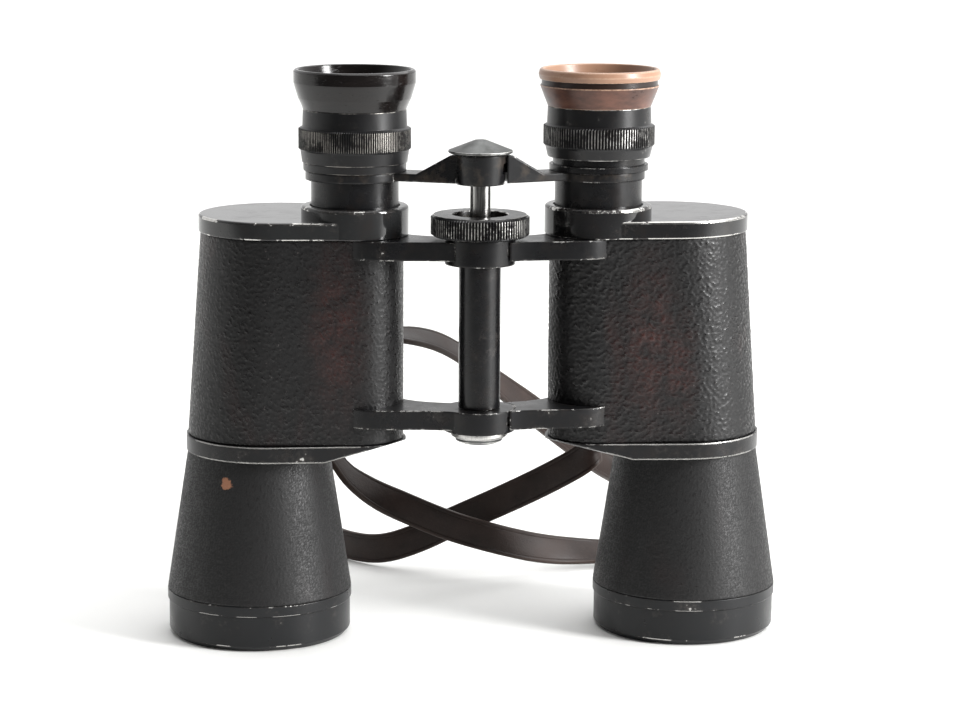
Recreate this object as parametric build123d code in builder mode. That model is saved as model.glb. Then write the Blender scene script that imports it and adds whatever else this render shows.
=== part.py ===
from build123d import *
import os
from math import atan2, cos, degrees, hypot, pi, radians, sin, tan

# Prism binoculars with centre focusing, standing upright on their objective rings.
# Millimetres, +Z up, X across the two barrels, +Y towards the back, where the strap hangs.
# The origin is at floor level under the middle of the object. Places in plan are measured
# from the hinge axis, which stands at hinge_y; side is -1 for the left half and 1 for the right.

# ---- Driving dimensions ----

# Optical axes, from the hinge axis
eye_x, eye_y = 37.93, 14.02
objective_x, objective_y = 68.27, 23.98

# Heights of the main levels
barrel_bottom = 9.0
ring_top = 14.5
flange_bottom = 59.5
flange_top = 64.5
floor_top = 67.5
cover_bottom = 128.7
cover_top = 134.2
boss_top = 138.0

# Prism housing: hull of a small lobe at the eyepiece and a large one at the objective
small_lobe_r = 15.1
large_lobe_r = 24.5
large_lobe_x_top = 61.0
large_lobe_x_bottom = 66.3
lobe_draft_span = 74.5
covering_t = 0.8
wall_t = 2.2
cover_overhang = 0.8
boss_r = 16.7

# Foot flange of the housing
flange_x, flange_y, flange_r = 65.0, 23.5, 26.0
flange_small_r = 15.9
bevel_start = (48.0, -2.0)
bevel_end = (23.0, 32.0)
bevel_slope = 19.1

# Hinge: height bands as (bottom, top)
lower_knuckle, lower_knuckle_r = (69.4, 76.3), 11.0
upper_knuckle, upper_knuckle_r = (121.4, 129.5), 10.8
lower_arm = (70.3, 76.3)
upper_arm = (122.9, cover_bottom)
lower_slot = (71.6, 74.6)
upper_slot = (124.3, 127.3)
tongue_r = 8.4
knuckle_gap = 0.3
axle_r, axle_bore_r, nut_seat_r = 4.9, 3.5, 4.3
nut_seat_bottom = 120.8
running_gap = 0.06
flat_gap = 0.25
hinge_tube_r = 6.45

# Focusing
wheel_r, wheel_bottom, wheel_top = 15.2, 130.0, 136.7
wheel_recess_r, wheel_floor_top = 8.6, 133.0
wheel_knurls, knurl_depth = 100, 0.45
shaft_r, shaft_bottom, shaft_top = 3.2, 84.0, 155.5

# Bridge that carries the eyepieces
bridge_bottom, bridge_plate_top, bridge_web_top = 146.4, 148.8, 154.9
hub_bottom, hub_top, hub_r = 146.0, 155.2, 8.2
hub_slot = (149.3, 152.5)
hub_tongue_r = 6.3
bridge_width = 11.0
bridge_web_end = 19.0

# Eyepieces
guide_r, guide_bore_r, guide_top = 12.3, 11.2, 144.0
sleeve_r, sleeve_bottom, sleeve_top = 13.6, 136.9, 152.0
well_r, well_floor = 14.0, 130.0
collar_r, collar_bore_r, collar_top = 14.3, 11.5, 158.5
cell_r, cell_bottom, cell_flange = 11.4, 141.5, (161.0, 163.9)
cell_shoulder = 153.0
cell_flange_r = 13.5
spigot_r, spigot_bottom = 13.0, 165.5

# Objectives
barrel_cone = ((29.2, ring_top), (22.3, flange_bottom))
barrel_skin = 0.7
barrel_nose_r = 27.6
ring_r, ring_rim_r, ring_mouth_r = 28.8, 29.3, 25.7
thread_r = 20.2
cell_seat_r, lens_r = 26.4, 25.3

# Prisms: right-angle prisms on a shelf between them
prism_half, prism_width = 20.0, 20.0
shelf_bottom, shelf_top = 95.0, 97.5

# Strap and its lugs
strap_width = 10.3
lug_x, lug_bottom, lug_top = 56.7, 72.0, 88.0
lug_reach, lug_bar_r, lug_eye_r = 7.2, 1.5, 2.2

# The deepest points in front and behind are the focus wheel and the lugs
back = objective_y + large_lobe_r + lug_reach
hinge_y = (wheel_r - back) / 2


# ---- Helpers ----

def level(height):
    """Horizontal plane at a height, with its origin on the hinge axis."""
    return Plane((0, hinge_y, height))


def upright(x, y, angle=0):
    """Vertical plane through a point in plan: its x runs outward at the angle, its y runs up."""
    a = radians(angle)
    return Plane((x, hinge_y + y, 0), x_dir=(cos(a), sin(a), 0), z_dir=(sin(a), -cos(a), 0))


def turn_about(x, y):
    """Revolve the open sketch about the upright axis through a point in plan."""
    revolve(axis=Axis((x, hinge_y + y, 0), (0, 0, 1)))


def half_profile(*points):
    """Closed half profile of a turned piece in the sketch that is open, as (radius, height)."""
    with BuildLine() as outline:
        Polyline(*points, close=True)
    make_face(outline.edges())


def lobe_x(height):
    """Middle of the large lobe: the outer wall spreads evenly from top to bottom."""
    share = (cover_top - height) / lobe_draft_span
    return large_lobe_x_top + share * (large_lobe_x_bottom - large_lobe_x_top)


def draw_outline(side, height, shrink):
    """Housing outline at a height in the sketch that is open, drawn in all round by shrink."""
    with Locations((side * eye_x, eye_y)):
        Circle(small_lobe_r - shrink)
    with Locations((side * lobe_x(height), objective_y)):
        Circle(large_lobe_r - shrink)
    make_hull()


def housing_block(side, shrink, bottom, top):
    """Solid block with the housing's outline between two heights."""
    with BuildPart() as block:
        with BuildSketch(level(bottom)):
            draw_outline(side, bottom, shrink)
        with BuildSketch(level(top)):
            draw_outline(side, top, shrink)
        loft()
    return block.part


def hinge_arm(side, band):
    """Flat arm from the hinge to the housing: hollow front edge, waisted back edge."""
    bottom, top = band
    with BuildPart() as arm:
        with BuildSketch(level(bottom)):
            with BuildLine():
                front = Spline((side * 8.2, -7.3), (side * 14, -5.6), (side * 24, -4.8),
                               (side * 33, -4.0), (side * 41, 1.0))
                behind = Spline((side * 8.2, 7.3), (side * 15, 9.2), (side * 20.5, 12.4),
                                (side * 25, 19.0))
                Line(front @ 0, behind @ 0)
                Line(front @ 1, behind @ 1)
            make_face()
        extrude(amount=top - bottom)
    return arm.part


def disc(radius, bottom, top, mode=Mode.ADD):
    """Disc about the hinge axis between two heights, in the part that is open."""
    with BuildSketch(level(bottom)) as face:
        Circle(radius)
    extrude(face.sketch, amount=top - bottom, mode=mode)


def slot_mouth(reach, first, last):
    """Fan about the hinge axis in the sketch that is open, between two angles."""
    angles = [first + (last - first) * i / 4 for i in range(5)]
    rim = [(reach * cos(radians(a)), reach * sin(radians(a))) for a in angles]
    with BuildLine() as outline:
        Polyline((0, 0), *rim, close=True)
    make_face(outline.edges())


def keep(piece, name):
    """Label a finished piece and write it to its own file."""
    piece.part.label = name
    export_step(piece.part, f"parts/{name}.step")
    return piece.part


def prism_corner(side):
    """Where the light passes from one prism to the other: a right angle to both axes."""
    mid_x, mid_y = (eye_x + objective_x) / 2, (eye_y + objective_y) / 2
    step_x, step_y = (objective_x - eye_x) / 2, (objective_y - eye_y) / 2
    return side * (mid_x - step_y), mid_y + step_x


# ---- Prism housing, its covering and its cover ----

def cut_fork(radius, knuckle, slot):
    """Bore and fork slot of a knuckle: the mouth opens only towards the other half."""
    disc(axle_r + running_gap, knuckle[0] - 1, knuckle[1] + 1, mode=Mode.SUBTRACT)
    disc(tongue_r + knuckle_gap, *slot, mode=Mode.SUBTRACT)
    with BuildSketch(level(slot[0])) as mouth:
        slot_mouth(radius + 7, -42, 96)
    extrude(mouth.sketch, amount=slot[1] - slot[0], mode=Mode.SUBTRACT)


def add_tongue(knuckle_r, arm, slot):
    """Hollow arm end round the other half's knuckle, and the tongue that fills its slot."""
    disc(knuckle_r + knuckle_gap, arm[0] - 1, arm[1] + 1, mode=Mode.SUBTRACT)
    bottom, top = slot[0] + flat_gap, slot[1] - flat_gap
    with BuildSketch(level(bottom)) as tongue:
        Circle(tongue_r)
        with Locations((6.5, 0.25)):
            Rectangle(13, 10.5)
        Circle(axle_r, mode=Mode.SUBTRACT)
    extrude(tongue.sketch, amount=top - bottom)


def cover_screw_places(side):
    """Screws of the cover plate, round the large lobe."""
    x = lobe_x(cover_bottom)
    spread = large_lobe_r - 4.5
    turns = [radians(a) for a in (-62, 28, 118)]
    return [(side * (x + spread * cos(a)), objective_y + spread * sin(a)) for a in turns]


def make_prism_housing(side, name):
    """Cast housing: bevelled foot flange, hollow body, prism shelf and two hinge arms."""
    normal_x, normal_y = bevel_end[1] - bevel_start[1], bevel_start[0] - bevel_end[0]
    length = hypot(normal_x, normal_y)
    rise, run = sin(radians(bevel_slope)), cos(radians(bevel_slope))
    bevel = Plane(
        (side * bevel_start[0], hinge_y + bevel_start[1], flange_bottom),
        z_dir=(side * normal_x / length * rise, normal_y / length * rise, run),
    )
    with BuildPart() as housing:
        with BuildSketch(level(flange_bottom)):
            with Locations((side * eye_x, eye_y)):
                Circle(flange_small_r)
            with Locations((side * flange_x, flange_y)):
                Circle(flange_r)
            make_hull()
        extrude(amount=flange_top - flange_bottom)
        split(bisect_by=bevel, keep=Keep.TOP)
        add(housing_block(side, covering_t, flange_top, cover_bottom))
        add(hinge_arm(side, lower_arm))
        add(hinge_arm(side, upper_arm))
        if side < 0:
            disc(lower_knuckle_r, *lower_knuckle)
            disc(upper_knuckle_r, *upper_knuckle)
            cut_fork(lower_knuckle_r, lower_knuckle, lower_slot)
            cut_fork(upper_knuckle_r, upper_knuckle, upper_slot)
        else:
            add_tongue(lower_knuckle_r, lower_arm, lower_slot)
            add_tongue(upper_knuckle_r, upper_arm, upper_slot)
        # Cavity, then the shelf across it
        add(housing_block(side, covering_t + wall_t, floor_top, cover_bottom), mode=Mode.SUBTRACT)
        with BuildSketch(level(shelf_bottom)):
            draw_outline(side, shelf_bottom, covering_t + wall_t / 2)
            with Locations((side * objective_x, objective_y), (side * eye_x, eye_y),
                           prism_corner(side)):
                Circle(prism_width / 2 - 1, mode=Mode.SUBTRACT)
        extrude(amount=shelf_top - shelf_bottom)
        # Screw bosses under the cover
        for x, y in cover_screw_places(side):
            with BuildSketch(level(cover_bottom - 8)):
                with Locations((x, y)):
                    Circle(3.0)
            extrude(amount=8)
            with BuildSketch(level(cover_bottom - 7)):
                with Locations((x, y)):
                    Circle(1.2)
            extrude(amount=7, mode=Mode.SUBTRACT)
        # Threaded mouth for the objective barrel
        with BuildSketch(level(flange_bottom)):
            with Locations((side * objective_x, objective_y)):
                Circle(thread_r)
        extrude(amount=floor_top - flange_bottom, mode=Mode.SUBTRACT)
    return keep(housing, name + "_prism_housing")


def make_housing_covering(side, name):
    """Leathercloth skin of the housing, cut out where the hinge arms pass through it."""
    with BuildPart() as covering:
        add(housing_block(side, 0, flange_top, cover_bottom))
        add(housing_block(side, covering_t, flange_top, cover_bottom), mode=Mode.SUBTRACT)
        add(hinge_arm(side, lower_arm), mode=Mode.SUBTRACT)
        add(hinge_arm(side, upper_arm), mode=Mode.SUBTRACT)
    return keep(covering, name + "_housing_covering")


def make_cover_plate(side, name):
    """Cover plate with a rounded edge and a boss with a well for the eyepiece sleeve."""
    with BuildPart() as cover:
        with BuildSketch(level(cover_bottom)):
            draw_outline(side, cover_bottom, -cover_overhang)
        extrude(amount=cover_top - cover_bottom)
        fillet(cover.edges().group_by(Axis.Z)[-1], 1.6)
        fillet(cover.edges().group_by(Axis.Z)[0], 0.5)
        with BuildSketch(upright(side * eye_x, eye_y)):
            with BuildLine():
                Polyline((0, cover_bottom), (boss_r, cover_bottom), (boss_r, boss_top - 1.2))
                RadiusArc((boss_r, boss_top - 1.2), (boss_r - 1.2, boss_top), -1.2)
                Polyline((boss_r - 1.2, boss_top), (0, boss_top), (0, cover_bottom))
            make_face()
        turn_about(side * eye_x, eye_y)
        with BuildSketch(upright(side * eye_x, eye_y)):
            half_profile((0, cover_bottom), (guide_r, cover_bottom), (guide_r, well_floor),
                         (well_r, well_floor), (well_r, boss_top), (0, boss_top))
        revolve(axis=Axis((side * eye_x, hinge_y + eye_y, 0), (0, 0, 1)), mode=Mode.SUBTRACT)
        for x, y in cover_screw_places(side):
            with BuildSketch(upright(x, y)):
                half_profile((0, cover_bottom), (1.25, cover_bottom), (1.25, cover_top - 1.3),
                             (2.5, cover_top), (0, cover_top))
            revolve(axis=Axis((x, hinge_y + y, 0), (0, 0, 1)), mode=Mode.SUBTRACT)
    return keep(cover, name + "_cover_plate")


def make_cover_screws(side, name):
    """Countersunk slotted screws of the cover plate."""
    head_top = cover_top - 0.1
    with BuildPart() as screws:
        for x, y in cover_screw_places(side):
            with BuildSketch(upright(x, y)):
                half_profile((0, cover_bottom - 6), (1.2, cover_bottom - 6), (1.2, head_top - 1.2),
                             (2.35, head_top), (0, head_top))
            turn_about(x, y)
            with BuildSketch(level(head_top - 0.5)):
                with Locations((x, y)):
                    Rectangle(6, 0.6, rotation=side * 35)
            extrude(amount=0.5, mode=Mode.SUBTRACT)
    return keep(screws, name + "_cover_screws")


# ---- Prisms ----

def prism_pair(side):
    """Centre and direction of the upper and the lower prism in plan."""
    corner = prism_corner(side)
    ends = {"upper": (side * objective_x, objective_y), "lower": (side * eye_x, eye_y)}
    places = {}
    for which, (x, y) in ends.items():
        angle = degrees(atan2(corner[1] - y, corner[0] - x))
        places[which] = ((x + corner[0]) / 2, (y + corner[1]) / 2, angle)
    return places


def make_prism(side, name, which):
    """Right-angle prism lying on the shelf, its ends ground off to clear the housing."""
    x, y, angle = prism_pair(side)[which]
    base, way = (shelf_top, 1) if which == "upper" else (shelf_bottom, -1)
    with BuildPart() as prism:
        with BuildSketch(upright(x, y, angle)):
            half_profile((-prism_half, base), (prism_half, base), (0, base + way * prism_half))
        extrude(amount=prism_width / 2, both=True)
        add(housing_block(side, covering_t + wall_t + 0.3, floor_top, cover_bottom),
            mode=Mode.INTERSECT)
    return keep(prism, f"{name}_{which}_prism")


def make_prism_clips(side, name):
    """Spring clips that hold each prism against the shelf: a bent strip over its roof."""
    thick, width = 0.5, 5.0
    with BuildPart() as clips:
        for which, (x, y, angle) in prism_pair(side).items():
            base, way = (shelf_top, 1) if which == "upper" else (shelf_bottom, -1)
            foot, roof = 9.0, prism_half
            with BuildSketch(upright(x, y, angle)):
                half_profile(
                    (-foot, base + way * (roof - foot)), (0, base + way * roof),
                    (foot, base + way * (roof - foot)), (foot + thick, base + way * (roof - foot)),
                    (0, base + way * (roof + 1.4 * thick)),
                    (-foot - thick, base + way * (roof - foot)),
                )
            extrude(amount=width / 2, both=True)
    return keep(clips, name + "_prism_clips")


# ---- Objective end ----

def make_objective_barrel(side, name):
    """Conical barrel, threaded into the housing, with a seat for the objective cell."""
    (low_r, low_z), (high_r, high_z) = barrel_cone
    with BuildPart() as barrel:
        with BuildSketch(upright(side * objective_x, objective_y)):
            half_profile(
                (barrel_nose_r, barrel_bottom), (barrel_nose_r, ring_top),
                (low_r - barrel_skin, low_z), (high_r - barrel_skin, high_z),
                (thread_r, high_z), (thread_r, floor_top - 0.5),
                (18.2, floor_top - 0.5), (18.8, flange_bottom), (25.2, 24), (cell_seat_r, 24),
                (cell_seat_r, barrel_bottom),
            )
        turn_about(side * objective_x, objective_y)
    return keep(barrel, name + "_objective_barrel")


def make_barrel_covering(side, name):
    """Thin grained skin of the conical barrel."""
    (low_r, low_z), (high_r, high_z) = barrel_cone
    with BuildPart() as covering:
        with BuildSketch(upright(side * objective_x, objective_y)):
            half_profile((low_r - barrel_skin, low_z), (low_r, low_z), (high_r, high_z),
                         (high_r - barrel_skin, high_z))
        turn_about(side * objective_x, objective_y)
    return keep(covering, name + "_barrel_covering")


def make_objective_ring(side, name):
    """Smooth ring screwed over the barrel's end, which the binoculars stand on."""
    with BuildPart() as ring:
        with BuildSketch(upright(side * objective_x, objective_y)):
            half_profile(
                (ring_mouth_r, 0), (ring_r - 1.4, 0), (ring_r, 1.6), (ring_r, 11.0),
                (ring_rim_r, 11.4), (ring_rim_r, ring_top), (barrel_nose_r, ring_top),
                (barrel_nose_r, barrel_bottom), (ring_mouth_r, barrel_bottom),
            )
        turn_about(side * objective_x, objective_y)
    return keep(ring, name + "_objective_ring")


def make_objective_cell(side, name):
    """Cell of the objective, with a shoulder above the glass and a screwed ring below it."""
    with BuildPart() as cell:
        with BuildSketch(upright(side * objective_x, objective_y)):
            half_profile(
                (24.2, barrel_bottom), (cell_seat_r, barrel_bottom), (cell_seat_r, 23.5),
                (24.0, 23.5), (24.0, 21.6), (lens_r, 21.6), (lens_r, 11.0), (24.2, 11.0),
            )
        turn_about(side * objective_x, objective_y)
    return keep(cell, name + "_objective_cell")


def lens_profile(radius, bottom, top, bottom_bow, top_bow):
    """Half profile of a lens: edge heights, and how far each face bows up at the middle."""
    def face(height, bow):
        if abs(bow) < 0.01:
            return Line((0, height), (radius, height))
        sphere = (radius ** 2 + bow ** 2) / (2 * abs(bow))
        half = atan2(radius, sphere - abs(bow)) / 2
        way = 1 if bow > 0 else -1
        middle = (sphere * sin(half), height + bow - way * sphere * (1 - cos(half)))
        return ThreePointArc((0, height + bow), middle, (radius, height))
    with BuildLine() as outline:
        low = face(bottom, bottom_bow)
        high = face(top, top_bow)
        Line(low @ 0, high @ 0)
        Line(low @ 1, high @ 1)
    make_face(outline.edges())


def make_objective_lens(side, name):
    """Cemented doublet: a crown glass in front and a flint glass behind it."""
    x, y = side * objective_x, objective_y
    with BuildPart() as lens:
        with BuildSketch(upright(x, y)):
            lens_profile(lens_r, 13.6, 16.2, -2.4, 2.6)
        turn_about(x, y)
        with BuildSketch(upright(x, y)):
            lens_profile(lens_r, 16.3, 21.5, 2.6, 0)
        turn_about(x, y)
    return keep(lens, name + "_objective_lens")


# ---- Eyepieces ----

def make_eyepiece_guide(side, name):
    """Fixed tube in the cover plate, on which the eyepiece sleeve slides."""
    x, y = side * eye_x, eye_y
    with BuildPart() as guide:
        with BuildSketch(upright(x, y)):
            half_profile((guide_bore_r, cover_bottom), (guide_r, cover_bottom),
                         (guide_r, guide_top), (guide_bore_r, guide_top))
        turn_about(x, y)
    return keep(guide, name + "_eyepiece_guide")


def make_eyepiece_sleeve(side, name):
    """Sliding sleeve, with the collar that carries the eyepiece head."""
    x, y = side * eye_x, eye_y
    bore = guide_r + running_gap
    with BuildPart() as sleeve:
        with BuildSketch(upright(x, y)):
            half_profile(
                (bore, sleeve_bottom), (sleeve_r, sleeve_bottom), (sleeve_r, sleeve_top),
                (collar_r, sleeve_top), (collar_r, collar_top), (collar_bore_r, collar_top),
                (collar_bore_r, sleeve_top), (bore, sleeve_top - 0.5),
            )
        turn_about(x, y)
    return keep(sleeve, name + "_eyepiece_sleeve")


def make_ocular_cell(side, name):
    """Tube that holds the field lens and the eye lens, with a flange at its top."""
    x, y = side * eye_x, eye_y
    narrow = guide_bore_r - 0.3
    with BuildPart() as cell:
        with BuildSketch(upright(x, y)):
            half_profile(
                (9.0, cell_bottom), (narrow, cell_bottom), (narrow, cell_shoulder),
                (cell_r, cell_shoulder), (cell_r, cell_flange[0]),
                (cell_flange_r, cell_flange[0]), (cell_flange_r, cell_flange[1]),
                (8.6, cell_flange[1]), (8.6, 163.0), (9.6, 163.0), (9.6, 157.5), (8.6, 157.5),
                (8.6, 148.5), (10.0, 148.5), (10.0, 142.5), (9.0, 142.5),
            )
        turn_about(x, y)
    return keep(cell, name + "_ocular_cell")


def make_ocular_lens(side, name, which):
    """Field lens, flat below and domed above, or eye lens, domed on both faces."""
    x, y = side * eye_x, eye_y
    radius, bottom, top, low_bow, high_bow = {
        "field": (10.0, 142.6, 145.2, 0, 2.2),
        "eye": (9.6, 158.6, 161.4, -1.0, 1.4),
    }[which]
    with BuildPart() as lens:
        with BuildSketch(upright(x, y)):
            lens_profile(radius, bottom, top, low_bow, high_bow)
        turn_about(x, y)
    return keep(lens, f"{name}_{which}_lens")


def knurled_band(x, y, outer, depth, teeth, bottom, top):
    """Band of upright V ridges round an axis, in the part that is open."""
    step = pi / teeth
    rim = [
        ((outer - depth * (i % 2)) * cos(i * step), (outer - depth * (i % 2)) * sin(i * step))
        for i in range(2 * teeth)
    ]
    with BuildSketch(Plane((x, hinge_y + y, bottom))) as band:
        with BuildLine():
            Polyline(*rim, close=True)
        make_face()
    extrude(band.sketch, amount=top - bottom)


def make_eyepiece_ring(side, name, label, taper, band, teeth, neck_top):
    """Knurled ring of the eyepiece head: tapered skirt, ridged band and smooth neck."""
    x, y = side * eye_x, eye_y
    (skirt_r, skirt_bottom), (band_r, band_bottom) = taper
    outer, (low, high) = band
    with BuildPart() as ring:
        knurled_band(x, y, outer, knurl_depth, teeth, low + 0.3, high - 0.3)
        with BuildSketch(upright(x, y)):
            half_profile(
                (0, skirt_bottom), (skirt_r, skirt_bottom), (band_r, band_bottom),
                (outer - knurl_depth, low), (outer - knurl_depth, high), (16.0, high + 0.4),
                (16.0, neck_top), (0, neck_top),
            )
        turn_about(x, y)
        with BuildSketch(upright(x, y)):
            half_profile(
                (0, skirt_bottom), (collar_r + 0.08, skirt_bottom), (collar_r + 0.08, 160.8),
                (cell_flange_r + 0.08, 160.8), (cell_flange_r + 0.08, 164.0), (10.5, 164.0),
                (10.5, spigot_bottom), (spigot_r, spigot_bottom), (spigot_r, neck_top),
                (0, neck_top),
            )
        revolve(axis=Axis((x, hinge_y + y, 0), (0, 0, 1)), mode=Mode.SUBTRACT)
    return keep(ring, f"{name}_{label}")


def make_eyecup(side, name, outside, neck_top, rim_top):
    """Dished bakelite eyecup, screwed into the neck of the ring by its spigot."""
    x, y = side * eye_x, eye_y
    with BuildPart() as eyecup:
        with BuildSketch(upright(x, y)):
            half_profile(
                (11.0, spigot_bottom), (spigot_r, spigot_bottom), (spigot_r, neck_top), *outside,
                (17.3, rim_top), (16.4, 176.5), (13.5, 171.5), (11.0, 169.5),
            )
        turn_about(x, y)
    return keep(eyecup, name + "_eyecup")


# ---- Bridge ----

def bridge_angle(side):
    """Direction of an eyepiece axis from the hinge axis."""
    return degrees(atan2(eye_y, side * eye_x))


def bridge_arm_body(side, ring_r, clearance):
    """Web sloping down from the hub to a thin plate, and the ring round the sleeve."""
    span = hypot(eye_x, eye_y)
    with BuildSketch(upright(0, 0, bridge_angle(side))) as web:
        half_profile(
            (clearance - 2, bridge_bottom), (clearance - 2, bridge_web_top),
            (clearance, bridge_web_top), (bridge_web_end, bridge_plate_top),
            (span, bridge_plate_top), (span, bridge_bottom),
        )
    extrude(web.sketch, amount=bridge_width / 2, both=True)
    with BuildSketch(level(bridge_bottom - 0.3)) as ring:
        with Locations((side * eye_x, eye_y)):
            Circle(ring_r)
    extrude(ring.sketch, amount=bridge_plate_top - bridge_bottom + 0.3)
    with BuildSketch(level(bridge_bottom - 1)) as bore:
        with Locations((side * eye_x, eye_y)):
            Circle(sleeve_r)
    extrude(bore.sketch, amount=8, mode=Mode.SUBTRACT)


def make_right_bridge_arm():
    """Right bridge arm: fixed to the focusing shaft by a tongue inside the left arm's hub."""
    bottom, top = hub_slot[0] + flat_gap, hub_slot[1] - flat_gap
    with BuildPart() as arm:
        bridge_arm_body(1, 14.4, hub_r + knuckle_gap)
        disc(hub_r + knuckle_gap, hub_bottom - 1, hub_top + 1, mode=Mode.SUBTRACT)
        with BuildSketch(level(bottom)):
            Circle(hub_tongue_r)
        extrude(amount=top - bottom)
        with BuildSketch(upright(0, 0, bridge_angle(1))):
            half_profile((0, bottom), (hub_r + 2, bottom), (hub_r + 2, top), (0, top))
        extrude(amount=3.5, both=True)
        disc(shaft_r, bottom, top, mode=Mode.SUBTRACT)
    return keep(arm, "right_bridge_arm")


def make_left_bridge_arm():
    """Left bridge arm: its hub turns on the focusing shaft round the right arm's tongue."""
    with BuildPart() as arm:
        bridge_arm_body(-1, 15.3, hub_r)
        with BuildSketch(upright(0, 0)):
            half_profile((0, hub_bottom), (hub_r - 0.8, hub_bottom), (hub_r, hub_top), (0, hub_top))
        turn_about(0, 0)
        disc(shaft_r + running_gap, hub_bottom - 1, hub_top + 1, mode=Mode.SUBTRACT)
        disc(hub_tongue_r + knuckle_gap, *hub_slot, mode=Mode.SUBTRACT)
        with BuildSketch(level(hub_slot[0])):
            slot_mouth(hub_r + 5, -32, 112)
        extrude(amount=hub_slot[1] - hub_slot[0], mode=Mode.SUBTRACT)
    return keep(arm, "left_bridge_arm")


def make_bridge_cap():
    """Low conical cap on the end of the focusing shaft."""
    with BuildPart() as cap:
        with BuildSketch(upright(0, 0)):
            half_profile((0, shaft_top), (9.5, shaft_top), (9.9, shaft_top + 0.3),
                         (9.9, shaft_top + 0.8), (1.6, shaft_top + 4.1), (0, shaft_top + 4.1))
        turn_about(0, 0)
    return keep(cap, "bridge_cap")


# ---- Hinge and focusing drive ----

def make_hinge_axle():
    """Hollow axle that the left half turns on; the focusing shaft runs inside it."""
    bottom, top = 67.3, 129.6
    with BuildPart() as axle:
        with BuildSketch(upright(0, 0)):
            half_profile(
                (2.5, bottom), (axle_r, bottom), (axle_r, top), (nut_seat_r, top),
                (nut_seat_r, nut_seat_bottom), (axle_bore_r, nut_seat_bottom), (axle_bore_r, 76),
                (0, 76), (0, 72.3), (2.5, 72.3),
            )
        turn_about(0, 0)
    return keep(axle, "hinge_axle")


def make_hinge_tube():
    """Black tube round the axle between the two knuckles."""
    bottom, top = lower_knuckle[1] + flat_gap, upper_knuckle[0] - flat_gap
    with BuildPart() as tube:
        with BuildSketch(level(bottom)):
            Circle(hinge_tube_r)
            Circle(axle_r, mode=Mode.SUBTRACT)
        extrude(amount=top - bottom)
    return keep(tube, "hinge_tube")


def make_hinge_washer():
    """Bright washer under the lower knuckle."""
    with BuildPart() as washer:
        with BuildSketch(upright(0, 0)):
            half_profile((axle_r, 67.3), (8.2, 67.3), (8.8, 67.9), (8.8, 69.2), (axle_r, 69.2))
        turn_about(0, 0)
    return keep(washer, "hinge_washer")


def make_hinge_end_cap():
    """Domed screw that closes the lower end of the axle."""
    with BuildPart() as cap:
        with BuildSketch(upright(0, 0)):
            half_profile((0, 65.2), (5.4, 65.4), (7.2, 66.1), (7.6, 67.3), (2.5, 67.3),
                         (2.5, 71.5), (0, 71.5))
        turn_about(0, 0)
    return keep(cap, "hinge_end_cap")


def make_focus_wheel():
    """Knurled focusing wheel with a recess round the shaft."""
    core = wheel_r - knurl_depth
    with BuildPart() as wheel:
        knurled_band(0, 0, wheel_r, knurl_depth, wheel_knurls, wheel_bottom + 0.4, wheel_top - 0.5)
        with BuildSketch(upright(0, 0)):
            half_profile(
                (nut_seat_r - running_gap, wheel_bottom), (core - 0.4, wheel_bottom),
                (core, wheel_bottom + 0.4), (core, wheel_top - 0.5), (core - 0.5, wheel_top),
                (wheel_recess_r, wheel_top), (wheel_recess_r, wheel_floor_top),
                (nut_seat_r - running_gap, wheel_floor_top),
            )
        turn_about(0, 0)
        disc(nut_seat_r - running_gap, wheel_bottom, wheel_floor_top, mode=Mode.SUBTRACT)
        disc(wheel_recess_r, wheel_floor_top, wheel_top, mode=Mode.SUBTRACT)
    return keep(wheel, "focus_wheel")


def make_focus_nut():
    """Threaded brass nut fixed in the wheel: turning it drives the shaft up and down."""
    barrel = nut_seat_r - running_gap
    with BuildPart() as nut:
        with BuildSketch(upright(0, 0)):
            half_profile(
                (shaft_r + running_gap, nut_seat_bottom + 0.3), (barrel, nut_seat_bottom + 0.3),
                (barrel, wheel_floor_top), (7.4, wheel_floor_top), (7.4, wheel_floor_top + 1.2),
                (shaft_r + running_gap, wheel_floor_top + 1.2),
            )
        turn_about(0, 0)
    return keep(nut, "focus_nut")


def make_focus_shaft():
    """Bright focusing shaft, which carries the bridge."""
    with BuildPart() as shaft:
        disc(shaft_r, shaft_bottom, shaft_top)
    return keep(shaft, "focus_shaft")


# ---- Strap and lugs ----

def make_strap_lug(side, name):
    """Bracket on the back of the housing: two prongs and the bar that the strap goes round."""
    x = side * lug_x
    wall = objective_y + large_lobe_r
    bar_y = wall + lug_reach - lug_bar_r
    height = lug_top - lug_bottom
    with BuildPart() as lug:
        with BuildSketch(level(lug_bottom)):
            with Locations((x, wall)):
                Rectangle(9, 2.8)
        extrude(amount=height)
        for bottom in (lug_bottom, lug_top - 2):
            with BuildSketch(level(bottom)):
                with Locations((x, (wall + bar_y) / 2)):
                    Rectangle(4.4, bar_y - wall)
                with Locations((x, bar_y)):
                    Circle(lug_eye_r)
            extrude(amount=2)
        with BuildSketch(level(lug_bottom)):
            with Locations((x, bar_y)):
                Circle(lug_bar_r)
        extrude(amount=height)
        with BuildSketch(level(lug_bottom)):
            with Locations((x, wall + lug_reach + 5)):
                Rectangle(12, 10)
        extrude(amount=height, mode=Mode.SUBTRACT)
        add(housing_block(side, 0, flange_top, cover_bottom), mode=Mode.SUBTRACT)
    return keep(lug, name + "_strap_lug")


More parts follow.
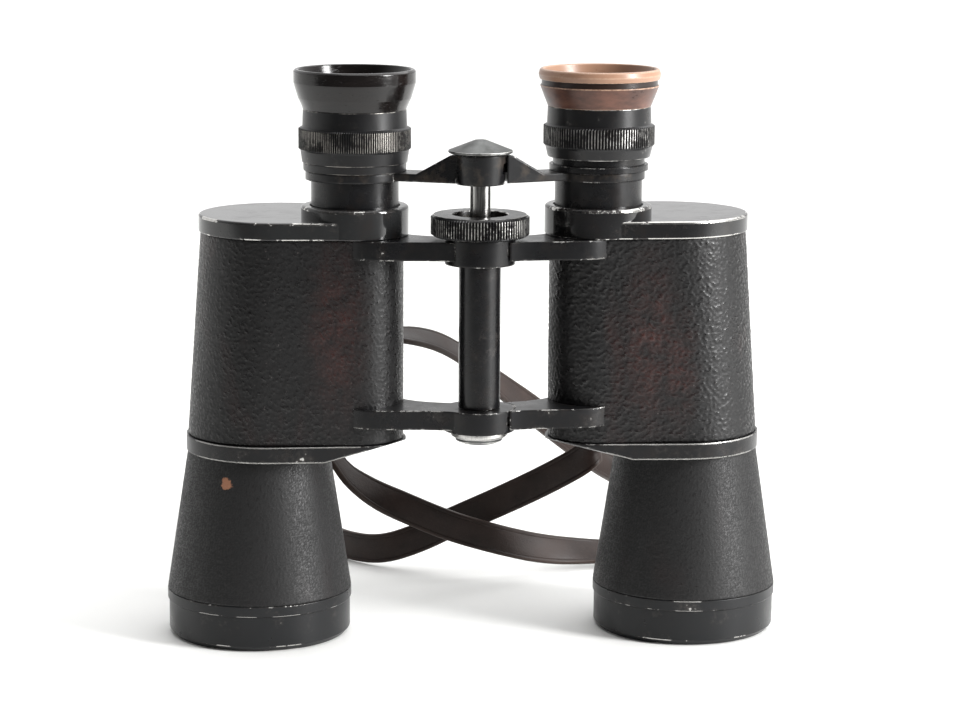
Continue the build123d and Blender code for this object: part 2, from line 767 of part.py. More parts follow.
# Route of the strap, from the left lug to the right one, as (x, y, z) from the hinge axis
strap_route = [
    # Down from the left lug, across the gap and onto the floor
    (-54, 66, 79), (-51, 69, 60), (-42, 70, 40), (-31, 73, 32), (-18, 74, 26),
    (-4, 76, 20), (13, 80, 14), (30, 90, 7.4), (49, 98, 5.3),
    # Loop on the floor behind the right barrel
    (70, 99, 5.2), (89, 105, 5.2), (101, 119, 5.2), (107, 142, 5.2), (109, 169, 5.2),
    (109, 192, 5.2), (105, 210, 5.2), (93, 219, 5.2), (80, 213, 5.8), (72, 196, 10),
    # Up to the left and over the left lug
    (60, 166, 20), (44, 145, 35), (28, 128, 50), (13, 110, 64), (0, 93, 77),
    (-11, 81, 84), (-23, 70, 88), (-42, 62, 92.5), (-59, 57, 94.6), (-73, 64, 91),
    # Down behind the left barrel and round on the floor
    (-79, 76, 76), (-82, 92, 54), (-84, 111, 30), (-86, 133, 11), (-89, 159, 5.2),
    (-86, 178, 5.2), (-75, 191, 5.2), (-58, 191, 5.2), (-45, 177, 5.2), (-44, 155, 5.2),
    (-46, 133, 5.2), (-40, 113, 5.2), (-27, 100, 5.8),
    # Under the first stretch and up to the right lug
    (-14, 97, 10.5), (-3, 93, 17), (14, 83, 27), (30, 74, 37), (44, 67, 45), (53, 64, 61),
    (56, 66, 79),
]


def make_neck_strap():
    """Strap as a plain round of its own width, along straight runs and arcs."""
    points = [Vector(x, hinge_y + y, z) for x, y, z in strap_route]
    runs = [b - a for a, b in zip(points, points[1:])]
    radii = []
    for before, after in zip(runs, runs[1:]):
        half_turn = radians(before.get_angle(after)) / 2
        radii.append(0.45 * min(before.length, after.length) / tan(half_turn))
    with BuildPart() as strap:
        with BuildLine() as route:
            FilletPolyline(*points, radius=radii)
        start = Plane(route.line @ 0, z_dir=route.line % 0)
        with BuildSketch(start):
            Circle(strap_width / 2)
        sweep()
    length = route.wire().length
    section = pi * strap_width ** 2 / 4
    print("strap radii", [round(r, 1) for r in radii])
    print("strap length", round(length, 1))
    print("strap volume / (section x length)", round(strap.part.volume / section / length, 4))
    return keep(strap, "neck_strap")


# ---- Build every piece ----

os.makedirs("parts", exist_ok=True)

for side, name in ((-1, "left"), (1, "right")):
    make_prism_housing(side, name)
    make_housing_covering(side, name)
    make_cover_plate(side, name)
    make_cover_screws(side, name)
    make_prism(side, name, "upper")
    make_prism(side, name, "lower")
    make_prism_clips(side, name)
    make_objective_barrel(side, name)
    make_barrel_covering(side, name)
    make_objective_ring(side, name)
    make_objective_cell(side, name)
    make_objective_lens(side, name)
    make_eyepiece_guide(side, name)
    make_eyepiece_sleeve(side, name)
    make_ocular_cell(side, name)
    make_ocular_lens(side, name, "field")
    make_ocular_lens(side, name, "eye")
    make_strap_lug(side, name)

# The left head is fixed, with fine ridges; the right one turns to set the dioptre
make_eyepiece_ring(-1, "left", "eyepiece_ring", ((16.2, 151.0), (16.8, 155.2)),
                   (17.4, (155.4, 162.0)), 200, 167.7)
make_eyepiece_ring(1, "right", "dioptre_ring", ((15.9, 152.9), (16.6, 156.0)),
                   (17.3, (156.5, 162.8)), 114, 168.6)
make_eyecup(-1, "left", ((16.0, 167.7), (16.5, 169.1), (17.5, 171.2), (18.7, 175.2),
                         (18.9, 176.0), (18.9, 179.4), (18.3, 180.0)), 167.7, 180.0)
make_eyecup(1, "right", ((16.0, 168.6), (17.2, 171.5), (18.5, 175.0), (18.0, 175.3),
                         (18.0, 176.8), (18.9, 177.1), (18.9, 179.6), (18.3, 180.2)), 168.6, 180.2)

make_right_bridge_arm()
make_left_bridge_arm()
make_bridge_cap()
make_hinge_axle()
make_hinge_tube()
make_hinge_washer()
make_hinge_end_cap()
make_focus_wheel()
make_focus_nut()
make_focus_shaft()
make_neck_strap()
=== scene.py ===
import math
from math import cos, pi, radians, sin

import bmesh
import bpy
import numpy as np
from mathutils import Matrix, Vector
from mathutils.geometry import tessellate_polygon


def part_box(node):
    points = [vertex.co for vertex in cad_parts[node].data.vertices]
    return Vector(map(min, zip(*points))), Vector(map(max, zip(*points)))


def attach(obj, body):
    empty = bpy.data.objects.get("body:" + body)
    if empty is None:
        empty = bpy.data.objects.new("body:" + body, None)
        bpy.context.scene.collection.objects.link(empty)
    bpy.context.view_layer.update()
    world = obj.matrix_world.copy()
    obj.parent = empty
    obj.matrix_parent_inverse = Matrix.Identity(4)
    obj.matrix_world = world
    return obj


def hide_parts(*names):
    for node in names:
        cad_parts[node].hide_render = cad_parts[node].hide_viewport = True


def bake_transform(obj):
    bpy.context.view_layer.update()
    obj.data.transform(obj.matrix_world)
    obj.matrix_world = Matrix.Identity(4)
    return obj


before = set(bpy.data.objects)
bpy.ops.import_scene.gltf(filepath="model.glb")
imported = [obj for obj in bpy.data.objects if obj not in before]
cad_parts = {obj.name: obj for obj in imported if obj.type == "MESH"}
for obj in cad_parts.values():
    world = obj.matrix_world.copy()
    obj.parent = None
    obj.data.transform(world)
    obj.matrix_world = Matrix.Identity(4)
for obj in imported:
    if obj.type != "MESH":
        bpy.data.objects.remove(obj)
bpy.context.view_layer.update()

# Prism binoculars with centre focusing. Lengths in this script are millimetres until a mesh
# is made; places in plan are measured from the hinge axis, which stands at HINGE_Y.

MM = 0.001

low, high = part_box("hinge_tube")
HINGE_Y = (low[1] + high[1]) / 2 / MM

EYE = (37.93, 14.02)            # an eyepiece's axis
OBJECTIVE = (68.27, 23.98)      # an objective's axis
SIDES = ((-1, "left"), (1, "right"))

# Prism housing: two lobes in plan, with the cover plate on top
SMALL_LOBE, LARGE_LOBE = 15.1, 24.5
LOBE_X, LOBE_LEAN, HOUSING_HEIGHT = 61.0, 5.3, 74.5
COVERING_BOTTOM, COVERING_TOP = 64.5, 128.75
COVER_BOTTOM, COVER_TOP, COVER_HEIGHT_READ = 128.7, 134.2, 131.0
WELL_RADIUS, BOSS_RADIUS, BOSS_FLOOR, BOSS_TOP = 14.0, 16.7, 130.0, 138.0

# Strap, and the lugs' bars that it goes round
STRAP_W, STRAP_T = 10.3, 2.0
LUG_X, LUG_Z = 55.6, 80.0

BLACK, WHITE = (0.0, 0.0, 0.0), (1.0, 1.0, 1.0)


# ---- Camera, floor and light ----

def put_camera():
    """Camera at the photograph's viewing angle, turned, dipped and rolled from straight on."""
    turn, dip, roll = radians(4.32), radians(10.42), radians(-0.33)
    across = np.array([cos(turn), -sin(turn), 0])
    upward = np.array([sin(turn) * sin(dip), cos(turn) * sin(dip), cos(dip)])
    ahead = np.array([sin(turn) * cos(dip), cos(turn) * cos(dip), -sin(dip)])
    right = cos(roll) * across - sin(roll) * upward
    up = sin(roll) * across + cos(roll) * upward
    data = bpy.data.cameras.new("camera")
    data.lens, data.sensor_width, data.clip_end = 110.97, 36.0, 20.0
    camera = bpy.data.objects.new("camera", data)
    bpy.context.scene.collection.objects.link(camera)
    place = np.array([-67.6, -897.5 + HINGE_Y, 256.7]) * MM
    matrix = np.eye(4)
    matrix[:3, 0], matrix[:3, 1], matrix[:3, 2], matrix[:3, 3] = right, up, -ahead, place
    camera.matrix_world = Matrix([tuple(row) for row in matrix])
    bpy.context.scene.camera = camera


def area_light(name, place, target, size, power):
    """Lamp at a place in metres, pointed at a target."""
    data = bpy.data.lights.new(name, "AREA")
    data.shape, data.size, data.size_y = "RECTANGLE", size[0], size[1]
    data.energy = power
    lamp = bpy.data.objects.new(name, data)
    bpy.context.scene.collection.objects.link(lamp)
    lamp.location = place
    lamp.rotation_euler = (Vector(target) - Vector(place)).to_track_quat("-Z", "Y").to_euler()
    return lamp


class Tree:
    """Short hand for building a node tree."""

    def __init__(self, tree):
        self.tree = tree
        tree.nodes.clear()

    def node(self, kind, inputs=None, **props):
        n = self.tree.nodes.new(kind)
        for key, value in props.items():
            setattr(n, key, value)
        for key, value in (inputs or {}).items():
            self.put(n.inputs[key], value)
        return n

    def put(self, socket, value):
        if isinstance(value, bpy.types.NodeSocket):
            self.tree.links.new(value, socket)
        elif isinstance(value, (tuple, list)) and len(value) == 3 and socket.type == "RGBA":
            socket.default_value = (*value, 1)
        else:
            socket.default_value = value

    def math(self, operation, a, b, clamp=False):
        n = self.node("ShaderNodeMath", {0: a, 1: b}, operation=operation, use_clamp=clamp)
        return n.outputs[0]

    def mix(self, share, a, b):
        n = self.node("ShaderNodeMix", data_type="RGBA")
        for key, value in (("Factor", share), ("A", a), ("B", b)):
            self.put(n.inputs[key], value)
        return n.outputs["Result"]

    def span(self, value, low, high, to_low=0.0, to_high=1.0, smooth=False):
        n = self.node("ShaderNodeMapRange", {0: value, 1: low, 2: high, 3: to_low, 4: to_high},
                      interpolation_type="SMOOTHSTEP" if smooth else "LINEAR")
        return n.outputs[0]

    def noise(self, place, size_mm, detail=3.0, rough=0.55, stretch=None):
        if stretch:
            place = self.node("ShaderNodeMapping", {"Vector": place, "Scale": stretch}).outputs[0]
        n = self.node("ShaderNodeTexNoise",
                      {"Vector": place, "Scale": 1000.0 / size_mm, "Detail": detail,
                       "Roughness": rough})
        return n.outputs["Fac"]

    def cells(self, place, size_mm):
        n = self.node("ShaderNodeTexVoronoi", {"Vector": place, "Scale": 1000.0 / size_mm})
        return n.outputs["Distance"]

    def attribute(self, name):
        return self.node("ShaderNodeAttribute", attribute_name=name).outputs["Fac"]

    def own_place(self):
        return self.node("ShaderNodeTexCoord").outputs["Object"]

    def bump(self, height, distance_mm, strength=1.0, normal=None):
        n = self.node("ShaderNodeBump", {"Height": height, "Distance": distance_mm * MM,
                                         "Strength": strength})
        if normal is not None:
            self.put(n.inputs["Normal"], normal)
        return n.outputs[0]

    def spots(self, place, spots, tall=1.0):
        """How near the surface is to worn spots: each is a place and a radius in mm, and tall
        is how many times higher than wide they are."""
        total = None
        place = self.node("ShaderNodeMapping", {"Vector": place,
                                                "Scale": (1.0, 1.0, 1.0 / tall)}).outputs[0]
        for (x, y, z), radius in spots:
            n = self.node("ShaderNodeVectorMath", operation="DISTANCE")
            self.put(n.inputs[0], place)
            n.inputs[1].default_value = (x * MM, (y + HINGE_Y) * MM, z / tall * MM)
            near = self.span(n.outputs["Value"], radius * MM, 0.0, smooth=True)
            total = near if total is None else self.math("MAXIMUM", total, near)
        return total


def material(name):
    """New material and the short hand for its empty node tree."""
    made = bpy.data.materials.new(name)
    made.use_nodes = True
    return made, Tree(made.node_tree)


def finish_material(t, **inputs):
    """Principled shader with the given sockets, as the material's surface."""
    shader = t.node("ShaderNodeBsdfPrincipled", inputs)
    t.node("ShaderNodeOutputMaterial", {"Surface": shader.outputs[0]})


def put_world():
    """White backdrop for the camera; what the object mirrors is lighter behind and above it."""
    world = bpy.data.worlds.new("studio")
    world.use_nodes = True
    bpy.context.scene.world = world
    t = Tree(world.node_tree)
    way = t.node("ShaderNodeTexCoord").outputs["Generated"]
    parts = t.node("ShaderNodeSeparateXYZ", {0: way})
    depth = t.span(parts.outputs["Y"], -0.65, 0.5, 0.06, 1.0, smooth=True)
    above = t.span(parts.outputs["Z"], 0.35, 0.95, 0.0, 0.55, smooth=True)
    level = t.math("MAXIMUM", depth, above)
    around = t.node("ShaderNodeBackground", {"Color": t.mix(level, BLACK, WHITE),
                                             "Strength": 1.0})
    backdrop = t.node("ShaderNodeBackground", {"Color": WHITE, "Strength": 1.05})
    seen = t.node("ShaderNodeLightPath").outputs["Is Camera Ray"]
    both = t.node("ShaderNodeMixShader", {0: seen, 1: around.outputs[0], 2: backdrop.outputs[0]})
    t.node("ShaderNodeOutputWorld", {"Surface": both.outputs[0]})


def put_floor():
    """Plain pale floor, which is stage and not part of the object."""
    mesh = bpy.data.meshes.new("floor")
    half, height = 4.0, -0.0001
    corners = [(-half, -half), (half, -half), (half, half), (-half, half)]
    mesh.from_pydata([(x, y, height) for x, y in corners], [], [(0, 1, 2, 3)])
    floor = bpy.data.objects.new("floor", mesh)
    bpy.context.scene.collection.objects.link(floor)
    white, t = material("floor_white")
    # What the object mirrors of the floor grows darker well in front of it, which keeps blacks deep
    along = t.node("ShaderNodeSeparateXYZ", {0: t.own_place()}).outputs["Y"]
    share = t.span(along, -0.62, -0.14, 0.10, 1.0, smooth=True)
    share = t.math("MAXIMUM", share, t.node("ShaderNodeLightPath").outputs["Is Camera Ray"])
    colour = t.mix(share, BLACK, (0.86, 0.86, 0.845))
    finish_material(t, **{"Base Color": colour, "Roughness": 0.6, "Specular IOR Level": 0.25})
    mesh.materials.append(white)


put_camera()
put_world()
put_floor()
scene = bpy.context.scene
scene.view_settings.view_transform = "Standard"
area_light("window", (1.15, -0.62, 0.55), (0.0, 0.0, 0.08), (0.35, 0.8), 34.0)
sky = area_light("overhead", (0.55, 0.35, 1.5), (0.0, 0.0, 0.05), (1, 1), 1.0)
sky.data.type = "SUN"
sky.data.energy, sky.data.angle = 2.6, radians(80)


# ---- Materials ----

def edge_mask(t, rounded):
    """Where the edges are: a mesh attribute on turned pieces, corner rounding on CAD nodes."""
    if not rounded:
        return t.attribute("edge"), None
    bevel = t.node("ShaderNodeBevel", {"Radius": 0.8 * MM}, samples=6)
    normal = t.node("ShaderNodeNewGeometry").outputs["Normal"]
    dot = t.node("ShaderNodeVectorMath", {0: bevel.outputs[0], 1: normal},
                 operation="DOT_PRODUCT")
    return t.span(dot.outputs["Value"], 0.990, 0.92), bevel.outputs[0]


def enamel(name, wear=0.26, spots=(), rounded=False, paint=(0.0055, 0.0055, 0.0062),
           gloss=0.20, metal=(0.60, 0.59, 0.57), brown=0.35, specular=0.36,
           chip=(0.685, 0.715), uneven=0.25, near_edge=0.34,
           stain_colour=(0.020, 0.0145, 0.0115)):
    """Black stove enamel over metal: chipped bright along its edges, most at given spots.
    chip is the span of wear over which it goes from enamel to bare metal."""
    made, t = material(name)
    place = t.own_place()
    edge, rounding = edge_mask(t, rounded)
    broad = t.noise(place, 7.0, 3.0, 0.6)
    fine = t.noise(place, 1.3, 5.0, 0.68)
    grit = t.math("ADD", t.math("MULTIPLY", broad, 0.6), t.math("MULTIPLY", fine, 0.4))
    drive = t.math("MULTIPLY", edge, wear)
    if spots:
        near = t.spots(place, spots)
        reach = t.math("ADD", t.math("MULTIPLY", edge, near_edge), 0.10)
        drive = t.math("ADD", drive, t.math("MULTIPLY", near, reach))
    total = t.math("ADD", grit, t.math("MULTIPLY", drive, 0.5))
    bare = t.span(total, *chip, smooth=True)
    dull = t.span(total, 0.56, 0.70, smooth=True)
    scratch = t.span(t.noise(place, 3.0, 2.0, 0.5, stretch=(1.0, 1.0, 9.0)), 0.68, 0.76)
    stain = t.span(t.noise(place, 5.0, 5.0, 0.65), 0.50, 0.68, 0.0, brown)
    colour = t.mix(stain, paint, stain_colour)
    colour = t.mix(t.math("MULTIPLY", dull, 0.45), colour, (0.050, 0.044, 0.040))
    shade = t.span(fine, 0.3, 0.7, 0.55, 1.0)
    bright = t.mix(shade, (metal[0] * 0.45, metal[1] * 0.44, metal[2] * 0.42), metal)
    colour = t.mix(bare, colour, bright)
    smudge = t.span(t.noise(place, 12.0, 4.0, 0.6), 0.35, 0.7, gloss, gloss + 0.15)
    rough = t.math("ADD", smudge, t.math("MULTIPLY", scratch, 0.10))
    rough = t.math("ADD", rough, t.math("MULTIPLY", bare, 0.10), clamp=True)
    height = t.math("SUBTRACT", t.math("MULTIPLY", t.noise(place, 0.9, 2.0), uneven), bare)
    normal = t.bump(height, 0.05, 0.8, rounding)
    finish_material(t, **{"Base Color": colour, "Metallic": bare, "Roughness": rough,
                          "IOR": 1.5, "Specular IOR Level": specular, "Normal": normal})
    return made


def leathercloth(name, grain_mm, patches=(), gloss=0.16, brown=0.6, specks=0.25,
                 specular=0.36, chips=()):
    """Black embossed leathercloth: shiny pebbles, dull creases painted darker as shade, rubbed to
    red-brown at patches, light painted glints, and off to the bare brown ground at chips."""
    made, t = material(name)
    place = t.own_place()
    height = t.attribute("grain")
    broad = t.noise(place, 24.0, 3.0, 0.6, stretch=(1.0, 1.0, 0.45))
    fine = t.noise(place, grain_mm * 0.45, 3.0, 0.6)
    rub = t.span(broad, 0.55, 0.74, 0.0, brown, smooth=True)
    if patches:
        near = t.spots(place, patches, tall=3.0)
        patchy = t.span(t.noise(place, 5.0, 4.0, 0.65), 0.36, 0.62, 0.1, 1.0)
        rub = t.math("MAXIMUM", rub, t.math("MULTIPLY", near, patchy))
    tops_and_crease_shade = t.span(height, 0.25, 0.9)
    # The creases are painted darker than the pebble tops: painted shade in the creases
    colour = t.mix(tops_and_crease_shade, (0.0030, 0.0028, 0.0030), (0.0085, 0.0080, 0.0082))
    colour = t.mix(t.math("MULTIPLY", rub, t.span(tops_and_crease_shade, 0.0, 1.0, 0.5, 1.0)), colour,
                   (0.040, 0.0155, 0.0135))
    # Light grey specks are painted glints: painted highlights scattered over the grain
    painted_glint = t.span(t.noise(place, 0.75, 3.0, 0.6), 0.66, 0.76)
    colour = t.mix(t.math("MULTIPLY", painted_glint, specks), colour, (0.17, 0.145, 0.14))
    if chips:
        ragged = t.span(t.noise(place, 1.3, 4.0, 0.7), 0.3, 0.7, -0.34, 0.34)
        near = t.math("ADD", t.spots(place, chips), ragged)
        colour = t.mix(t.span(near, 0.50, 0.66), colour, (0.30, 0.135, 0.075))
    rough = t.span(height, 0.2, 1.0, gloss + 0.32, gloss)
    rough = t.math("ADD", rough, t.span(broad, 0.3, 0.7, 0.10, -0.05), clamp=True)
    normal = t.bump(fine, 0.06, 0.7)
    finish_material(t, **{"Base Color": colour, "Roughness": rough, "Normal": normal,
                          "Specular IOR Level": specular})
    return made


def bakelite(name, colour_a, colour_b, gloss, rim=None, bands=()):
    """Moulded bakelite with faint flow marks, fine scratches and a rubbed rim. Each band is a
    bottom and top in mm, a share and the colour that it takes there."""
    made, t = material(name)
    place = t.own_place()
    edge = t.attribute("edge")
    flow = t.noise(place, 9.0, 4.0, 0.6, stretch=(1.0, 1.0, 2.5))
    fine = t.noise(place, 0.8, 3.0)
    colour = t.mix(t.span(flow, 0.35, 0.65), colour_a, colour_b)
    soft = 0.12 * MM
    for bottom, top, share, band in bands:
        height = t.node("ShaderNodeSeparateXYZ", {0: place}).outputs["Z"]
        above = t.span(height, bottom * MM - soft, bottom * MM + soft)
        below = t.span(height, top * MM + soft, top * MM - soft)
        inside = t.math("MULTIPLY", t.math("MULTIPLY", above, below), share)
        colour = t.mix(inside, colour, band)
    if rim:
        rubbed = t.math("MULTIPLY", edge, t.span(fine, 0.3, 0.6, 0.25, 1.0))
        colour = t.mix(rubbed, colour, rim)
    scratch = t.span(t.noise(place, 1.8, 2.0, 0.5, stretch=(1.0, 1.0, 8.0)), 0.66, 0.74)
    rough = t.math("ADD", t.span(flow, 0.3, 0.7, gloss, gloss + 0.12),
                   t.math("MULTIPLY", scratch, 0.2), clamp=True)
    normal = t.bump(t.math("ADD", fine, scratch), 0.03, 0.5)
    finish_material(t, **{"Base Color": colour, "Roughness": rough, "Normal": normal,
                          "IOR": 1.55, "Specular IOR Level": 0.36})
    return made


def bare_metal(name, colour, rough, grain=(1.0, 1.0, 0.08), dirt=0.3, streak=0.25):
    """Turned bare metal: fine tool marks, stains and dark dirt; strong dark upright streaks, as on
    the chrome, are painted reflections.
    """
    made, t = material(name)
    place = t.own_place()
    lines = t.noise(place, 0.5, 2.0, 0.5, stretch=grain)
    stain = t.noise(place, 4.5, 4.0, 0.62)
    dark = t.span(stain, 0.48, 0.66, 0.0, dirt, smooth=True)
    edge = t.attribute("edge")
    rubbed = t.math("MULTIPLY", edge, t.span(stain, 0.42, 0.56, 0.2, 1.0))
    tone = t.mix(dark, colour, (0.03, 0.028, 0.026))
    tone = t.mix(rubbed, tone, (0.72, 0.71, 0.69))
    # Dark upright streaks: faint tool marks, and where strong, painted reflections
    tone = t.mix(t.span(lines, 0.35, 0.65, 0.0, streak), tone, (0.06, 0.06, 0.06))
    finish_material(t, **{"Base Color": tone, "Metallic": 1.0,
                          "Roughness": t.span(stain, 0.3, 0.7, rough, rough + 0.22),
                          "Normal": t.bump(lines, 0.02, 0.6)})
    return made


def strap_leather(name):
    """Dark brown harness leather: fine grain, scuffed lighter face, burnished edges."""
    made, t = material(name)
    place = t.own_place()
    edge = t.attribute("edge")
    broad = t.noise(place, 14.0, 4.0, 0.6)
    fine = t.noise(place, 0.9, 4.0, 0.6)
    pores = t.cells(place, 0.7)
    colour = t.mix(t.span(broad, 0.4, 0.68), (0.014, 0.0075, 0.0058), (0.028, 0.0170, 0.0138))
    colour = t.mix(t.math("MULTIPLY", edge, 0.6), colour, (0.040, 0.025, 0.019))
    colour = t.mix(t.span(fine, 0.55, 0.8, 0.0, 0.25), colour, (0.055, 0.040, 0.034))
    rough = t.span(broad, 0.35, 0.7, 0.40, 0.58)
    height = t.math("ADD", t.math("MULTIPLY", pores, 0.5), fine)
    finish_material(t, **{"Base Color": colour, "Roughness": rough,
                          "Specular IOR Level": 0.26,
                          "Normal": t.bump(height, 0.07, 0.6)})
    return made


def glass(name, tint, coat, rough=0.03):
    """Lens or prism glass with a coloured coating."""
    made, t = material(name)
    place = t.own_place()
    haze = t.noise(place, 8.0, 3.0)
    finish_material(t, **{"Base Color": t.mix(t.span(haze, 0.4, 0.7, 0.0, 0.3), tint, coat),
                          "Roughness": t.span(haze, 0.3, 0.7, rough, rough + 0.06),
                          "IOR": 1.52, "Coat Weight": 0.6, "Coat Tint": coat,
                          "Coat Roughness": 0.02, "Specular IOR Level": 0.8})
    return made


# Places where the enamel is worn most, each with a radius
LEFT_COVER = [((-83, 13, 134), 9), ((-53.5, -1, 131), 9), ((-58, -1, 128.7), 8),
              ((-70, 0, 128.7), 5)]
RIGHT_COVER = [((46, 3, 133.5), 10), ((56, -1, 133.5), 10), ((66, -2, 133.5), 10),
               ((77, 3, 133.5), 9), ((60, -1, 129), 12), ((74, 0, 129), 12)]
LEFT_RING = [((-83, -1, 11), 6), ((-72, -5, 11), 5), ((-59, -4, 11), 7), ((-56, -3, 8), 4),
             ((-61, -3, 0.4), 10), ((-80, -2, 0.4), 6)]
RIGHT_RING = [((57, -3, 1.5), 6), ((84, 0, 3), 6), ((66, -5, 14), 6)]
FLANGE = [(place, 11) for place in
          ((-82, 4, 64.5), (-70, -2, 64.5), (-58, -3, 64), (-44, 0, 64.5), (-50, -2, 59.5),
           (-66, -3, 59.5), (46, 0, 64.5), (58, -2, 64.5), (72, -2, 64.5), (84, 4, 64.5),
           (56, -2, 59.5), (70, -2, 59.5))]
BARREL_CHIP = [((-78.9, 3.0, 53.2), 2.4), ((-78.2, 3.0, 51.8), 3.6)]
# Dark band in the brown eyecup's groove: painted shade in the recess
GROOVE_SHADE_BAND = (175.1, 177.0, 0.9, (0.012, 0.0065, 0.005))
RIM_BAND = (177.0, 181.0, 0.75, (0.42, 0.245, 0.16))

# The material of each look
M = {
    "enamel": enamel("black_enamel"),
    "cast": enamel("black_enamel_cast", wear=0.30, rounded=True, gloss=0.24, near_edge=0.62,
                   specular=0.28, spots=FLANGE),
    "bridge": enamel("black_enamel_bridge", wear=0.22, rounded=True, gloss=0.24, brown=0.9,
                     stain_colour=(0.042, 0.033, 0.026),
                     spots=[((33, -3, 149), 8), ((-8, -6, 147), 5), ((7, -7, 146), 5)]),
    "cover": enamel("black_enamel_cover", wear=0.20, gloss=0.06, spots=LEFT_COVER,
                    specular=0.55, uneven=0.04, paint=(0.017, 0.0175, 0.018)),
    "cover_worn": enamel("black_enamel_cover_worn", wear=0.32, gloss=0.06, spots=RIGHT_COVER,
                         specular=0.5, uneven=0.04, paint=(0.010, 0.010, 0.0105)),
    "ring": enamel("black_enamel_ring", wear=0.20, gloss=0.27, brown=0.1, specular=0.30,
                   paint=(0.0075, 0.008, 0.009), spots=LEFT_RING + RIGHT_RING),
    "knurl": enamel("worn_knurls", wear=0.36, gloss=0.26, chip=(0.60, 0.80)),
    "fine_knurl": enamel("worn_fine_knurls", wear=0.36, gloss=0.28, chip=(0.63, 0.78),
                         brown=0.12, metal=(0.44, 0.42, 0.39),
                         spots=[((-31, 1, 162), 9), ((-50, 4, 162), 6), ((-43, 0, 153), 8)]),
    "wheel": enamel("bright_knurls", wear=0.36, gloss=0.20, metal=(0.78, 0.77, 0.74),
                    chip=(0.62, 0.78)),
    # Each leathercloth's light specks are painted glints
    "cloth": leathercloth("leathercloth", 1.2, patches=[((53, -1, 96), 13), ((62, -1, 88), 9),
                                                        ((-44, 0, 100), 13)], specks=0.4),
    "skin": leathercloth("grained_skin", 0.7, gloss=0.30, brown=0.15, specks=0.12,
                         specular=0.40, chips=BARREL_CHIP),
    "anodised": enamel("black_anodised", wear=0.0, gloss=0.45, paint=(0.012, 0.012, 0.014)),
    "bakelite": bakelite("black_bakelite", (0.0045, 0.0038, 0.0038), (0.0085, 0.0065, 0.006),
                         0.10),
    "brown": bakelite("brown_bakelite", (0.045, 0.018, 0.012), (0.130, 0.055, 0.036), 0.26,
                      rim=(0.42, 0.27, 0.19), bands=[GROOVE_SHADE_BAND, RIM_BAND]),
    "steel": bare_metal("steel", (0.62, 0.61, 0.59), 0.26),
    "worn": bare_metal("worn_metal", (0.115, 0.118, 0.116), 0.36, dirt=0.20),
    # The chrome's strong dark upright streaks are painted reflections
    "chrome": bare_metal("chrome", (0.62, 0.61, 0.59), 0.10, grain=(0.5, 0.5, 0.02), dirt=0.4,
                         streak=0.9),
    "brass": bare_metal("brass", (0.72, 0.53, 0.26), 0.28),
    "glass": glass("coated_glass", (0.012, 0.016, 0.028), (0.55, 0.62, 1.0)),
    "prism": glass("prism_glass", (0.05, 0.058, 0.06), (0.9, 0.95, 1.0)),
    "strap": strap_leather("strap_leather"),
}


# ---- Mesh helpers ----

def piece(name, verts, faces, look, body, nodes=(), edge=None, points=None, sharp=40):
    """Mesh object from points in mm, with its material, body, slot and the nodes it stands for."""
    mesh = bpy.data.meshes.new(name)
    mesh.from_pydata((np.asarray(verts, float) * MM).tolist(), [], faces)
    mesh.update()
    if edge is not None:
        mesh.attributes.new("edge", "FLOAT", "FACE").data.foreach_set("value", edge)
    for key, values in (points or {}).items():
        mesh.attributes.new(key, "FLOAT", "POINT").data.foreach_set("value", values)
    work = bmesh.new()
    work.from_mesh(mesh)
    bmesh.ops.remove_doubles(work, verts=work.verts, dist=2e-7)
    bmesh.ops.recalc_face_normals(work, faces=work.faces)
    work.to_mesh(mesh)
    work.free()
    mesh.shade_smooth()
    mesh.set_sharp_from_angle(angle=radians(sharp))
    obj = bpy.data.objects.new(name, mesh)
    bpy.context.scene.collection.objects.link(obj)
    mesh.materials.append(M[look])
    weigh = obj.modifiers.new("weighted", "WEIGHTED_NORMAL")
    weigh.keep_sharp = True
    if body:
        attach(obj, body)
    if nodes:
        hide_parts(*nodes)
    return obj


def band_faces(first, second, count):
    """Quads between two closed rows of points, given by the numbers of their first points."""
    faces = []
    for k in range(count):
        m = (k + 1) % count
        faces.append((first + k, first + m, second + m, second + k))
    return faces


def skin_faces(rows, count):
    """Faces of a skin: rows of count points outside, then the bottom and top row inside."""
    inner_low, last = rows * count, (rows - 1) * count
    inner_high = inner_low + count
    faces = []
    for i in range(rows - 1):
        faces += band_faces(i * count, (i + 1) * count, count)
    faces += band_faces(inner_low, 0, count)
    faces += band_faces(last, inner_high, count)
    faces += band_faces(inner_high, inner_low, count)
    return faces


def ring_points(x, y, radius, z, angle):
    """Points round an upright axis at one height."""
    return list(zip(x + radius * np.cos(angle), HINGE_Y + y + radius * np.sin(angle),
                    np.full(len(angle), z)))


def rounded(corners, arc=4):
    """Outline with its corners rounded: corners are (a, b) or (a, b, radius). Gives the points
    and, for each segment after a point, 1 where it belongs to a rounded outer corner."""
    n = len(corners)
    pts, flags = [], []
    area = sum(corners[i][0] * corners[(i + 1) % n][1] - corners[(i + 1) % n][0] * corners[i][1]
               for i in range(n))
    for i, corner in enumerate(corners):
        here = np.array(corner[:2], float)
        before = np.array(corners[i - 1][:2], float) - here
        after = np.array(corners[(i + 1) % n][:2], float) - here
        lb, la = np.hypot(*before), np.hypot(*after)
        radius = corner[2] if len(corner) > 2 else 0.25
        before, after = before / lb, after / la
        turn = math.acos(np.clip(before @ after, -1, 1))
        cut = min(radius / math.tan(turn / 2) if turn > 0.01 else 0, 0.46 * lb, 0.46 * la)
        if radius == 0 or turn > radians(172) or cut < 1e-4:
            pts.append(here)
            flags.append(0.0)
            continue
        cross = before[0] * after[1] - before[1] * after[0]
        outer = 1.0 if cross * area < 0 and turn < radians(150) else 0.0
        start, end = here + before * cut, here + after * cut
        for k in range(arc + 1):
            s = k / arc
            pts.append((1 - s) ** 2 * start + 2 * s * (1 - s) * here + s ** 2 * end)
            flags.append(outer if k < arc else 0.0)
    return pts, flags


